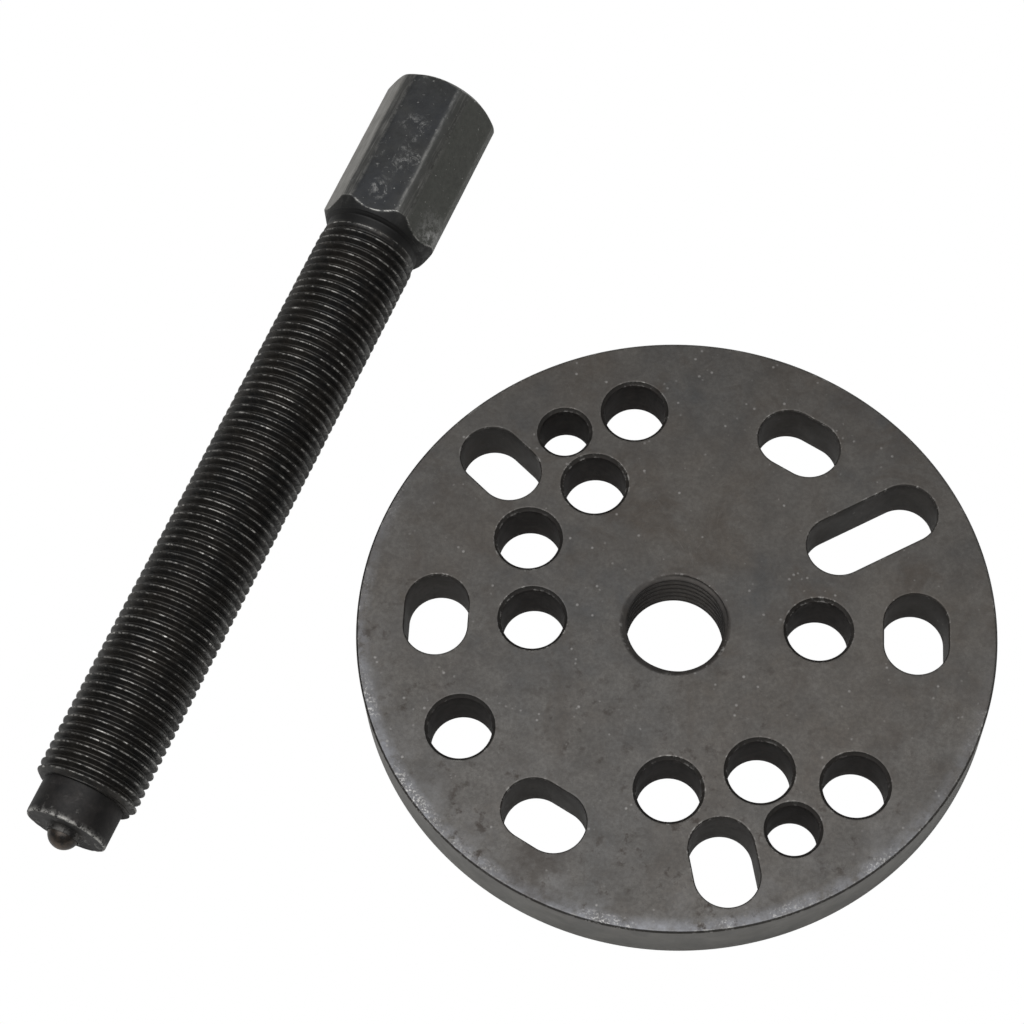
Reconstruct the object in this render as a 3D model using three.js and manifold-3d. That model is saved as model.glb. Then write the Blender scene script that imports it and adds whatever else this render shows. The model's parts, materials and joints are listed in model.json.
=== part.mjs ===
// Puller plate, forcing screw and thrust ball of a flywheel puller, laid out side by side on a flat surface.
// Millimetres, +Z up. The origin is the middle of the set's footprint, on the surface it lies on.

import * as THREE from 'three';
import { mergeVertices } from 'three/addons/utils/BufferGeometryUtils.js';
import Module from 'manifold-3d';

const INCH = 25.4;
const DEG = Math.PI / 180;

// Puller plate: a 3 3/4 inch disc.
const PLATE_RADIUS = 3.75 * INCH / 2;
const PLATE_THICKNESS = 8.85;
const PLATE_EDGE_BREAK = 0.4;
const PLATE_SEGMENTS = 80;
const HOLE_SEGMENTS = 20;

// Thread shared by the plate and the screw: 5/8 inch, 18 to the inch, right hand.
const PITCH = INCH / 18;
const MAJOR_RADIUS = 5 / 8 * INCH / 2;
const SCREW_ROOT_RADIUS = 7.1;
const TAPPED_CREST_RADIUS = 7.25;
const TAPPED_ROOT_RADIUS = 8.05;
const TAPPED_CHAMFER_RADIUS = 8.3;
const SCREW_THREAD_SEGMENTS = 14;
const TAPPED_THREAD_SEGMENTS = 24;

// Holes in the plate. Angles are measured from the plate's axis of symmetry, which runs through the long
// slot.
const SYMMETRY_ANGLE = 30;
const HOLE_RADIUS = 4.75;
const SMALL_HOLE_RADIUS = 3.8;
// The round holes are countersunk this deep and this wide at both faces; the slots are not.
const HOLE_CHAMFER = 0.5;
const ROUND_HOLES = [
  { reach: 21.3, angles: [-30, 150], radius: HOLE_RADIUS },
  { reach: 26.15, angles: [-120, -90, 90, 120], radius: HOLE_RADIUS },
  { reach: 36.2, angles: [-72, 72], radius: HOLE_RADIUS },
  { reach: 35.7, angles: [180], radius: HOLE_RADIUS },
  { reach: 36.2, angles: [-90, 90], radius: SMALL_HOLE_RADIUS },
];
// A slot's span is the distance between the centres of its two round ends. A radial slot points at the
// plate's centre, and the others run square to that.
const SLOTS = [
  { reach: 33.6, angles: [0], span: 11.6, radial: true },
  { reach: 37.65, angles: [-107.2, 107.2], span: 4.0, radial: true },
  { reach: 35.7, angles: [-150, -30, 30, 150], span: 3.4, radial: false },
];

// Forcing screw, measured along its axis from the first full thread at the nose end.
const BALL_SEAT_RADIUS = 2.55;
const BALL_CENTRE = -6.95;
const NOSE_END = -6.6;
const NOSE_RADIUS = 6.35;
const NOSE_CHAMFER = 0.35;
const LIP_END = -7.5;
const LIP_BASE_RADIUS = 3.1;
const LIP_MOUTH_RADIUS = 2.75;
const THREAD_START = -0.7;
const THREAD_END = 98.9;
const THREAD_END_CHAMFER = 0.8;
// The helix starts below the thread, where its root passes the screw's side; the thread is cut out of it.
const HELIX_START = -3.8;
const NECK_RADIUS = 7.7;
const HEAD_START = 100.95;
const HEAD_END = 128.1;
const HEAD_ACROSS_FLATS = 11 / 16 * INCH;
const HEAD_CORNER_RADIUS = 9.55;
// The cones that chamfer the head's two ends: the radius at the face, and the cone's length over its width.
const HEAD_END_FACE_RADIUS = 8.25;
const HEAD_END_SLOPE = 0.75;
const HEAD_UNDER_FACE_RADIUS = 8.4;
const HEAD_UNDER_SLOPE = 1.5;
const ROUND_SEGMENTS = 36;

const BALL_RADIUS = 2.45;
const BALL_SEGMENTS = 20;

// Where the screw lies: the heading of its axis, and the axis's point at the first full thread, from the
// plate's centre. It rests on one flat of its head and on the thread's nose end.
const SCREW_HEADING = 70;
const SCREW_OFFSET = new THREE.Vector2(-84.98, -30.15);
const SCREW_TILT = Math.asin((HEAD_ACROSS_FLATS / 2 - MAJOR_RADIUS) / (HEAD_START - THREAD_START));

// How far cutters run past a face, and how far joined solids reach into each other.
const CUT_MARGIN = 2;
const JOIN_DEPTH = 1;
// Vertices closer together than this are one vertex.
const WELD_DISTANCE = 1e-5;

const wasm = await Module();
wasm.setup();

function toSolid(geometry) {
  const bare = geometry.clone();
  bare.deleteAttribute('normal');
  bare.deleteAttribute('uv');
  const merged = mergeVertices(bare, WELD_DISTANCE);
  return new wasm.Manifold(new wasm.Mesh({
    numProp: 3,
    vertProperties: new Float32Array(merged.attributes.position.array),
    triVerts: new Uint32Array(merged.index.array),
  }));
}

function toGeometry(solid) {
  const mesh = solid.getMesh();
  const geometry = new THREE.BufferGeometry();
  geometry.setAttribute('position', new THREE.BufferAttribute(mesh.vertProperties, 3));
  geometry.setIndex(new THREE.BufferAttribute(mesh.triVerts, 1));
  geometry.computeVertexNormals();
  return geometry;
}

// A solid turned about Z from [radius, height] pairs that start and end on the axis, bottom first.
function turned(profile, segments) {
  const points = profile.map(([radius, height]) => new THREE.Vector2(radius, height));
  return toSolid(new THREE.LatheGeometry(points, segments).rotateX(Math.PI / 2));
}

// A solid rod with one right-hand helical ridge, of root and crest radius, from z = start up for some turns.
function helicalRod(rootRadius, crestRadius, start, turns, segments) {
  const steps = turns * segments;
  const positions = [];
  for (let step = 0; step <= steps + segments; step++) {
    const angle = step / segments * 2 * Math.PI;
    const rise = start + step / segments * PITCH;
    positions.push(rootRadius * Math.cos(angle), rootRadius * Math.sin(angle), rise);
    positions.push(crestRadius * Math.cos(angle), crestRadius * Math.sin(angle), rise + PITCH / 2);
  }
  const root = (step) => 2 * step;
  const crest = (step) => 2 * step + 1;
  const triangles = [];
  for (let step = 0; step < steps; step++) {
    const above = step + segments;
    triangles.push(root(step), root(step + 1), crest(step));
    triangles.push(crest(step), root(step + 1), crest(step + 1));
    triangles.push(crest(step), crest(step + 1), root(above));
    triangles.push(root(above), crest(step + 1), root(above + 1));
  }
  const bottom = positions.length / 3;
  positions.push(0, 0, start);
  const top = bottom + 1;
  positions.push(0, 0, start + (turns + 1) * PITCH);
  for (let step = 0; step < segments; step++) {
    triangles.push(bottom, root(step + 1), root(step));
    triangles.push(top, root(steps + step), root(steps + step + 1));
  }
  triangles.push(bottom, root(0), crest(0), bottom, crest(0), root(segments));
  triangles.push(top, crest(steps), root(steps), top, root(steps + segments), crest(steps));
  const geometry = new THREE.BufferGeometry();
  geometry.setAttribute('position', new THREE.Float32BufferAttribute(positions, 3));
  geometry.setIndex(triangles);
  return toSolid(geometry);
}

// A round hole with a 45 degree countersink at both faces.
function countersunkHole(radius) {
  const mouth = radius + HOLE_CHAMFER + CUT_MARGIN;
  return turned([
    [0, -CUT_MARGIN], [mouth, -CUT_MARGIN],
    [radius, HOLE_CHAMFER], [radius, PLATE_THICKNESS - HOLE_CHAMFER],
    [mouth, PLATE_THICKNESS + CUT_MARGIN], [0, PLATE_THICKNESS + CUT_MARGIN],
  ], HOLE_SEGMENTS);
}

function throughSlot(radius, span) {
  const outline = new THREE.Shape();
  outline.absarc(span / 2, 0, radius, -Math.PI / 2, Math.PI / 2);
  outline.absarc(-span / 2, 0, radius, Math.PI / 2, 3 * Math.PI / 2);
  const depth = PLATE_THICKNESS + 2 * CUT_MARGIN;
  const geometry = new THREE.ExtrudeGeometry(outline, {
    depth, bevelEnabled: false, curveSegments: HOLE_SEGMENTS / 2,
  });
  return toSolid(geometry.translate(0, 0, -CUT_MARGIN));
}

function aroundPlate(solid, reach, angle, turn) {
  const direction = (angle + SYMMETRY_ANGLE) * DEG;
  const place = [reach * Math.cos(direction), reach * Math.sin(direction), 0];
  return solid.rotate([0, 0, angle + SYMMETRY_ANGLE + turn]).translate(place);
}

// What the tap and the countersinks take out of the plate's middle.
function tappedHole() {
  const chamfer = TAPPED_CHAMFER_RADIUS - TAPPED_CREST_RADIUS;
  const coneEnd = TAPPED_CREST_RADIUS - CUT_MARGIN;
  const chamferDepth = TAPPED_CHAMFER_RADIUS - coneEnd;
  const countersinks = turned([
    [0, -chamfer], [TAPPED_CHAMFER_RADIUS + chamfer, -chamfer], [coneEnd, chamferDepth],
    [coneEnd, PLATE_THICKNESS - chamferDepth],
    [TAPPED_CHAMFER_RADIUS + chamfer, PLATE_THICKNESS + chamfer], [0, PLATE_THICKNESS + chamfer],
  ], HOLE_SEGMENTS);
  const turns = Math.ceil(PLATE_THICKNESS / PITCH) + 2;
  const tap = helicalRod(
    TAPPED_CREST_RADIUS, TAPPED_ROOT_RADIUS, -2 * PITCH, turns, TAPPED_THREAD_SEGMENTS,
  );
  return tap.add(countersinks);
}

function pullerPlate() {
  const rim = PLATE_RADIUS - PLATE_EDGE_BREAK;
  let plate = turned([
    [0, 0], [rim, 0], [PLATE_RADIUS, PLATE_EDGE_BREAK],
    [PLATE_RADIUS, PLATE_THICKNESS - PLATE_EDGE_BREAK], [rim, PLATE_THICKNESS], [0, PLATE_THICKNESS],
  ], PLATE_SEGMENTS);
  for (const { reach, angles, radius } of ROUND_HOLES) {
    for (const angle of angles) {
      const drill = countersunkHole(radius);
      plate = plate.subtract(aroundPlate(drill, reach, angle, 0));
    }
  }
  for (const { reach, angles, span, radial } of SLOTS) {
    for (const angle of angles) {
      const cutter = throughSlot(HOLE_RADIUS, span);
      plate = plate.subtract(aroundPlate(cutter, reach, angle, radial ? 0 : 90));
    }
  }
  return plate.subtract(tappedHole());
}

function hexHead() {
  const outline = new THREE.Shape();
  for (let corner = 0; corner < 6; corner++) {
    const angle = corner * 60 * DEG;
    const reach = HEAD_ACROSS_FLATS / 2 / Math.cos(30 * DEG);
    const point = [reach * Math.cos(angle), reach * Math.sin(angle)];
    if (corner === 0) outline.moveTo(...point);
    else outline.lineTo(...point);
  }
  const bar = new THREE.ExtrudeGeometry(outline, { depth: HEAD_END - HEAD_START, bevelEnabled: false });
  const underDepth = (HEAD_CORNER_RADIUS - HEAD_UNDER_FACE_RADIUS) * HEAD_UNDER_SLOPE;
  const endDepth = (HEAD_CORNER_RADIUS - HEAD_END_FACE_RADIUS) * HEAD_END_SLOPE;
  const envelope = turned([
    [0, HEAD_START], [HEAD_UNDER_FACE_RADIUS, HEAD_START], [HEAD_CORNER_RADIUS, HEAD_START + underDepth],
    [HEAD_CORNER_RADIUS, HEAD_END - endDepth], [HEAD_END_FACE_RADIUS, HEAD_END], [0, HEAD_END],
  ], ROUND_SEGMENTS);
  return toSolid(bar.translate(0, 0, HEAD_START)).intersect(envelope);
}

// The screw stands on its nose here, with its axis on Z and two of its head's flats facing along Y.
function forcingScrew() {
  const core = turned([
    [0, LIP_END], [LIP_MOUTH_RADIUS, LIP_END], [LIP_BASE_RADIUS, NOSE_END],
    [NOSE_RADIUS - NOSE_CHAMFER, NOSE_END], [NOSE_RADIUS, NOSE_END + NOSE_CHAMFER],
    [NOSE_RADIUS, THREAD_END], [NECK_RADIUS, THREAD_END],
    [NECK_RADIUS, HEAD_START + JOIN_DEPTH], [0, HEAD_START + JOIN_DEPTH],
  ], ROUND_SEGMENTS);
  const turns = Math.ceil((THREAD_END - HELIX_START) / PITCH);
  const rod = helicalRod(
    SCREW_ROOT_RADIUS, MAJOR_RADIUS, HELIX_START, turns, SCREW_THREAD_SEGMENTS,
  );
  const chamferRadius = MAJOR_RADIUS - THREAD_END_CHAMFER;
  const clearRadius = MAJOR_RADIUS + THREAD_END_CHAMFER;
  const envelope = turned([
    [0, THREAD_START], [chamferRadius, THREAD_START], [clearRadius, THREAD_START + THREAD_END_CHAMFER],
    [clearRadius, THREAD_END - THREAD_END_CHAMFER], [chamferRadius, THREAD_END], [0, THREAD_END],
  ], ROUND_SEGMENTS);
  const seat = toSolid(new THREE.SphereGeometry(BALL_SEAT_RADIUS, BALL_SEGMENTS, BALL_SEGMENTS / 2));
  return rod.intersect(envelope)
    .add(core)
    .add(hexHead())
    .subtract(seat.translate([0, 0, BALL_CENTRE]));
}

function blackSteel(color, roughness) {
  return new THREE.MeshStandardMaterial({ color, roughness, metalness: 0.9 });
}

function namedMesh(name, solid, material) {
  const mesh = new THREE.Mesh(toGeometry(solid), material);
  mesh.name = name;
  return mesh;
}

const plateMesh = namedMesh('puller_plate', pullerPlate(), blackSteel(0x3a3735, 0.5));
const screwMesh = namedMesh('forcing_screw', forcingScrew(), blackSteel(0x1e1d1c, 0.42));
const ballSolid = toSolid(new THREE.SphereGeometry(BALL_RADIUS, BALL_SEGMENTS, BALL_SEGMENTS / 2));
const ballMesh = namedMesh('thrust_ball', ballSolid, blackSteel(0x24201e, 0.3));
ballMesh.position.z = BALL_CENTRE;

// The lying screw: its own Z runs along the axis towards the head, and its own Y is the upper flat's normal.
const screw = new THREE.Group();
screw.add(screwMesh, ballMesh);
const heading = SCREW_HEADING * DEG;
const along = new THREE.Vector3(
  Math.cos(heading) * Math.cos(SCREW_TILT),
  Math.sin(heading) * Math.cos(SCREW_TILT),
  Math.sin(SCREW_TILT),
);
const side = new THREE.Vector3(-Math.sin(heading), Math.cos(heading), 0);
const upper = new THREE.Vector3().crossVectors(along, side);
screw.quaternion.setFromRotationMatrix(new THREE.Matrix4().makeBasis(side, upper, along));
const axisHeight = MAJOR_RADIUS - THREAD_START * Math.sin(SCREW_TILT);
screw.position.set(SCREW_OFFSET.x, SCREW_OFFSET.y, axisHeight);

const group = new THREE.Group();
const layout = new THREE.Group();
layout.add(plateMesh, screw);
group.add(layout);
group.updateMatrixWorld(true);
const footprint = new THREE.Box3().setFromObject(layout, true).getCenter(new THREE.Vector3());
layout.position.set(-footprint.x, -footprint.y, 0);

export default group;
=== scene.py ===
# Looks of the puller plate, the forcing screw and the thrust ball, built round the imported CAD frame.
# Everything is in metres in the CAD frame. Lengths below that end in _MM are millimetres.

import json
import math

import bmesh
import bpy
import numpy as np
from mathutils import Matrix, Vector
from mathutils.geometry import delaunay_2d_cdt


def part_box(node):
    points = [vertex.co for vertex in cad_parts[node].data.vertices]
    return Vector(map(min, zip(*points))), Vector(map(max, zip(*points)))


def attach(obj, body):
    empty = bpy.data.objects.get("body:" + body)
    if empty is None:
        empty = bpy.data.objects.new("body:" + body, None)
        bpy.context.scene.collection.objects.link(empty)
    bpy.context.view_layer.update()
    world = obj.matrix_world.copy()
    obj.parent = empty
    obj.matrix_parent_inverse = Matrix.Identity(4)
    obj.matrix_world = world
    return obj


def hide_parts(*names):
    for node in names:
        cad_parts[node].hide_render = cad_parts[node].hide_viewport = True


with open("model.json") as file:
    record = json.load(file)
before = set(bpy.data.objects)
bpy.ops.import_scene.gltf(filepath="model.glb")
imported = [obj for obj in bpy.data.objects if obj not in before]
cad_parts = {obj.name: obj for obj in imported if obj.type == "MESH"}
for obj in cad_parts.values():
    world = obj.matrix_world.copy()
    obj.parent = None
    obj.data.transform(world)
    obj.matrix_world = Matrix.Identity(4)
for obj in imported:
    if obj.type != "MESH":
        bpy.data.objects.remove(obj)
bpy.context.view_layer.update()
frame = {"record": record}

MM = 0.001
SEED = 5818

# ---------------------------------------------------------------- the design's sizes, as in the CAD model

PITCH_MM = 25.4 / 18
MAJOR_RADIUS_MM = 7.9375
HOLE_RADIUS_MM = 4.75
SMALL_HOLE_RADIUS_MM = 3.8
SYMMETRY_ANGLE = 30
# (distance from the plate's centre, angle from the plate's axis of symmetry, radius)
ROUND_HOLES = (
    [(21.3, angle, HOLE_RADIUS_MM) for angle in (-30, 150)]
    + [(26.15, angle, HOLE_RADIUS_MM) for angle in (-120, -90, 90, 120)]
    + [(36.2, angle, HOLE_RADIUS_MM) for angle in (-72, 72)]
    + [(35.7, 180, HOLE_RADIUS_MM)]
    + [(36.2, angle, SMALL_HOLE_RADIUS_MM) for angle in (-90, 90)]
)
# (distance, angle, distance between the centres of the round ends, turn from the radial direction)
SLOTS = (
    [(33.6, 0, 11.6, 0)]
    + [(37.65, angle, 4.0, 0) for angle in (-107.2, 107.2)]
    + [(35.7, angle, 3.4, 90) for angle in (-150, -30, 30, 150)]
)

TAPPED_CREST_MM = 7.25
TAPPED_ROOT_MM = 8.05
TAPPED_MOUTH_MM = 8.2

BALL_CENTRE_MM = -6.95
BALL_RADIUS_MM = 2.45
SEAT_RADIUS_MM = 2.55
LIP_END_MM = -7.5
LIP_MOUTH_MM = 2.75
LIP_BASE_MM = 3.1
NOSE_END_MM = -6.6
NOSE_RADIUS_MM = 6.35
THREAD_START_MM = -0.7
THREAD_END_MM = 98.9
THREAD_DEPTH_MM = 0.88
# The crest passes the screw's side at this height, and again at every pitch from it.
FIRST_CREST_MM = -3.8 + PITCH_MM / 2
NECK_RADIUS_MM = 7.7
HEAD_START_MM = 100.95
HEAD_END_MM = 128.1
HEAD_FLAT_MM = 17.4625 / 2
HEAD_CORNER_MM = 9.55
HEAD_UNDER_FACE_MM = 8.4
HEAD_UNDER_SLOPE = 1.5
HEAD_END_FACE_MM = 8.25
HEAD_END_SLOPE = 0.75

# ---------------------------------------------------------------- where things are, from the frame

plate_low, plate_high = (Vector(corner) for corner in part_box("puller_plate"))
PLATE_CENTRE = Vector(((plate_low.x + plate_high.x) / 2, (plate_low.y + plate_high.y) / 2, 0))
PLATE_RADIUS_MM = (plate_high.x - plate_low.x) / 2 / MM
PLATE_THICKNESS_MM = (plate_high.z - plate_low.z) / MM

joints = {joint["name"]: joint for joint in frame["record"]["behaviour"]["joints"]}
turn_joint = joints["screw_turn"]
BALL_POINT = Vector(turn_joint["pos_m"])
ALONG = -Vector(turn_joint["axis"]).normalized()
SIDE = Vector((0, 0, 1)).cross(ALONG).normalized()
UPPER = ALONG.cross(SIDE)

# The plate's own axes start under its centre. The screw's are its side, its upper side and its length, and
# start where its thread begins.
PLATE_PLACE = Matrix.Translation((PLATE_CENTRE.x, PLATE_CENTRE.y, plate_low.z))
SCREW_PLACE = Matrix((SIDE, UPPER, ALONG)).transposed().to_4x4()
SCREW_PLACE.translation = BALL_POINT - ALONG * BALL_CENTRE_MM * MM


# ---------------------------------------------------------------- smooth noise for the meshes

LATTICE_SIZE = 32
LATTICE = np.random.default_rng(SEED).random((LATTICE_SIZE, LATTICE_SIZE, LATTICE_SIZE))


def smooth_noise(x, y, z):
    """Value noise in 0..1 that repeats after the lattice's size."""
    corner = [np.floor(axis).astype(int) for axis in (x, y, z)]
    blend = [axis - low for axis, low in zip((x, y, z), corner)]
    blend = [part * part * (3 - 2 * part) for part in blend]
    total = 0
    for step_x in (0, 1):
        for step_y in (0, 1):
            for step_z in (0, 1):
                weight = 1
                for step, part in zip((step_x, step_y, step_z), blend):
                    weight = weight * (part if step else 1 - part)
                cell = [(low + step) % LATTICE_SIZE for low, step in zip(corner, (step_x, step_y, step_z))]
                total = total + weight * LATTICE[cell[0], cell[1], cell[2]]
    return total


def smooth_step(low, high, value):
    """0 below low, 1 above high, and an S-shaped curve between them."""
    part = np.clip((value - low) / (high - low), 0, 1)
    return part * part * (3 - 2 * part)


def soft_min(first, second, width):
    """The smaller of two values, rounded over where they are within width of each other."""
    share = np.clip(0.5 + 0.5 * (second - first) / width, 0, 1)
    return second + (first - second) * share - width * share * (1 - share)


# ---------------------------------------------------------------- mesh helpers

WELD_MM = 0.0005


def make_object(name, points_mm, faces, place, material, body, attributes=None, sharp_angle=None):
    """A mesh from points in millimetres in a piece's own axes, which place puts in the frame."""
    turn, start = np.array(place.to_3x3()), np.array(place.translation)
    points = np.array(points_mm, dtype=float) * MM @ turn.T + start
    mesh = bpy.data.meshes.new(name)
    mesh.from_pydata([tuple(point) for point in points], [], faces)
    for label, values in (attributes or {}).items():
        layer = mesh.attributes.new(label, "FLOAT", "POINT")
        layer.data.foreach_set("value", np.asarray(values, dtype=np.float32))
    work = bmesh.new()
    work.from_mesh(mesh)
    bmesh.ops.remove_doubles(work, verts=work.verts, dist=WELD_MM * MM)
    bmesh.ops.dissolve_degenerate(work, edges=work.edges, dist=WELD_MM * MM)
    work.to_mesh(mesh)
    work.free()
    mesh.polygons.foreach_set("use_smooth", [True] * len(mesh.polygons))
    if sharp_angle is not None:
        mesh.set_sharp_from_angle(angle=math.radians(sharp_angle))
    mesh.update()
    piece = bpy.data.objects.new(name, mesh)
    bpy.context.scene.collection.objects.link(piece)
    piece.data.materials.append(material)
    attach(piece, body)
    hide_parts(body)


# ---------------------------------------------------------------- material helpers

class Nodes:
    """Builds one node material, a call for each node. Patterns are laid out in the piece's own axes."""

    # The sockets of a Mix node that carry colours.
    MIX_COLORS_IN = (6, 7)
    MIX_COLOR_OUT = 2

    def __init__(self, name, place):
        self.material = bpy.data.materials.new(name)
        self.material.use_nodes = True
        self.tree = self.material.node_tree
        self.shader = self.tree.nodes["Principled BSDF"]
        into = self.tree.nodes.new("ShaderNodeMapping")
        into.vector_type = "TEXTURE"
        into.inputs["Location"].default_value = place.translation
        into.inputs["Rotation"].default_value = place.to_euler()
        self.put(into.inputs["Vector"], self.tree.nodes.new("ShaderNodeTexCoord").outputs["Object"])
        self.coordinates = into.outputs["Vector"]

    def put(self, socket, value):
        """Links a socket to another node's output, or sets its value."""
        if isinstance(value, bpy.types.NodeSocket):
            self.tree.links.new(value, socket)
        else:
            socket.default_value = value

    def scaled(self, scale):
        """The piece's coordinates, stretched by a scale for each axis."""
        node = self.tree.nodes.new("ShaderNodeMapping")
        self.put(node.inputs["Vector"], self.coordinates)
        node.inputs["Scale"].default_value = scale
        return node.outputs["Vector"]

    def noise(self, scale, detail, roughness, distortion=0, vector=None):
        node = self.tree.nodes.new("ShaderNodeTexNoise")
        self.put(node.inputs["Vector"], vector if vector is not None else self.coordinates)
        node.inputs["Scale"].default_value = scale
        node.inputs["Detail"].default_value = detail
        node.inputs["Roughness"].default_value = roughness
        node.inputs["Distortion"].default_value = distortion
        return node.outputs["Fac"]

    def patches(self, scale, detail, roughness, low, high, distortion=0):
        """Noise spread out: 0 where it is below low, and 1 where it is above high."""
        return self.remap(self.noise(scale, detail, roughness, distortion), low, high)

    def cells(self, scale):
        """The distance to the nearest of many scattered points."""
        node = self.tree.nodes.new("ShaderNodeTexVoronoi")
        self.put(node.inputs["Vector"], self.coordinates)
        node.inputs["Scale"].default_value = scale
        return node.outputs["Distance"]

    def attribute(self, name):
        node = self.tree.nodes.new("ShaderNodeAttribute")
        node.attribute_name = name
        return node.outputs["Fac"]

    def axes(self):
        """The piece's own x, y and z, in metres."""
        node = self.tree.nodes.new("ShaderNodeSeparateXYZ")
        self.put(node.inputs[0], self.coordinates)
        return node.outputs

    def math(self, operation, first, second=0.0):
        node = self.tree.nodes.new("ShaderNodeMath")
        node.operation = operation
        self.put(node.inputs[0], first)
        self.put(node.inputs[1], second)
        return node.outputs[0]

    def times(self, *values):
        product = values[0]
        for value in values[1:]:
            product = self.math("MULTIPLY", product, value)
        return product

    def sum_of_squares(self, first, second):
        return self.math("ADD", self.times(first, first), self.times(second, second))

    def remap(self, value, low, high, out_low=0.0, out_high=1.0):
        node = self.tree.nodes.new("ShaderNodeMapRange")
        self.put(node.inputs["Value"], value)
        node.inputs["From Min"].default_value = low
        node.inputs["From Max"].default_value = high
        node.inputs["To Min"].default_value = out_low
        node.inputs["To Max"].default_value = out_high
        return node.outputs["Result"]

    def ramp_mm(self, length, low_mm, high_mm, out_low=0.0, out_high=1.0):
        """Remaps a length, between limits in millimetres."""
        return self.remap(length, low_mm * MM, high_mm * MM, out_low, out_high)

    def band(self, value, middle, width):
        """1 at the middle, falling to 0 at a width to either side."""
        distance = self.math("ABSOLUTE", self.math("SUBTRACT", value, middle))
        return self.remap(distance, 0.4 * width, width, 1.0, 0.0)

    def near(self, x, y, point_mm, outer_mm2, inner_mm2):
        """1 close to a point and 0 far from it. The limits are squares of distances."""
        off_x = self.math("SUBTRACT", x, point_mm[0] * MM)
        off_y = self.math("SUBTRACT", y, point_mm[1] * MM)
        return self.remap(self.sum_of_squares(off_x, off_y), outer_mm2 * MM * MM, inner_mm2 * MM * MM)

    def mix(self, share, first, second):
        node = self.tree.nodes.new("ShaderNodeMix")
        node.data_type = "RGBA"
        self.put(node.inputs["Factor"], share)
        for socket, value in zip(self.MIX_COLORS_IN, (first, second)):
            self.put(node.inputs[socket], (*value, 1) if isinstance(value, tuple) else value)
        return node.outputs[self.MIX_COLOR_OUT]

    def paint(self, base, color, *shares):
        """Covers the base with a colour, by the product of the shares."""
        return self.mix(self.times(*shares), base, color)

    def bump(self, height, strength, distance_mm, normal=None):
        """A normal tilted by a height pattern, on top of another bump's normal where one is given."""
        node = self.tree.nodes.new("ShaderNodeBump")
        node.inputs["Strength"].default_value = strength
        node.inputs["Distance"].default_value = distance_mm * MM
        self.put(node.inputs["Height"], height)
        if normal is not None:
            self.put(node.inputs["Normal"], normal)
        return node.outputs["Normal"]

    def finish(self, color, roughness, normal, metallic, index):
        """Joins everything to the shader. index is the index of refraction."""
        self.put(self.shader.inputs["Base Color"], color)
        self.put(self.shader.inputs["Roughness"], roughness)
        self.put(self.shader.inputs["Normal"], normal)
        self.put(self.shader.inputs["Metallic"], metallic)
        self.shader.inputs["IOR"].default_value = index
        return self.material


# ---------------------------------------------------------------- the plate's black oxide

OXIDE_GREY = (0.072, 0.072, 0.072)
OXIDE_BROWN = (0.096, 0.085, 0.074)
OXIDE_THIN = (0.122, 0.115, 0.106)
FRONT_PAINTED_REFLECTION = (0.160, 0.154, 0.147)
STAIN_BROWN = (0.062, 0.050, 0.040)
SPECKLE_DARK = (0.045, 0.040, 0.036)
PAINTED_SHEEN_BLUE = (0.170, 0.171, 0.177)
RUBBED_AND_SHEEN_BLUE = (0.240, 0.246, 0.268)
PIT_BROWN = (0.030, 0.022, 0.017)
SMUDGE_BROWN = (0.046, 0.038, 0.032)
DUST_GREY = (0.34, 0.33, 0.32)
CHIPPED_STEEL = (0.60, 0.59, 0.57)
SCRATCH_GREY = (0.26, 0.26, 0.25)
HOLE_WALL_SHADE_TONES = ((0.018, 0.014, 0.013), (0.032, 0.024, 0.021))
RIM_WALL_REFLECTION_TONES = ((0.160, 0.156, 0.148), (0.215, 0.207, 0.193))
CHAMFER_PAINTED_SHADE = (0.040, 0.038, 0.036)
PLATE_WORN_EDGE = (0.45, 0.44, 0.42)

# Where the rim's top edge has been knocked and its finish is chipped.
RIM_KNOCK_MM = (-37.0, -29.3)
# A dark smudge on the face near the rim.
RIM_SMUDGE_MM = (-17.9, -39.2)


def plate_oxide(nodes, cloud, front):
    """The oxide: grey and brown clouds, stains and a fine dark speckle, under a painted reflection that makes
    it paler towards the front.
    """
    base = nodes.mix(nodes.patches(55, 4, 0.6, 0.36, 0.64), OXIDE_GREY, OXIDE_BROWN)
    base = nodes.paint(base, OXIDE_THIN, cloud, 0.75)
    base = nodes.paint(base, STAIN_BROWN, nodes.patches(95, 6, 0.7, 0.52, 0.68, distortion=0.8), 0.62)
    speckle_share = nodes.remap(front, 0.0, 1.0, 0.36, 0.72)
    base = nodes.paint(base, SPECKLE_DARK, nodes.patches(1500, 4, 0.85, 0.38, 0.60), speckle_share)
    # Painted reflection: the face is painted paler towards the front.
    return nodes.paint(base, FRONT_PAINTED_REFLECTION, front, 0.22)


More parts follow.
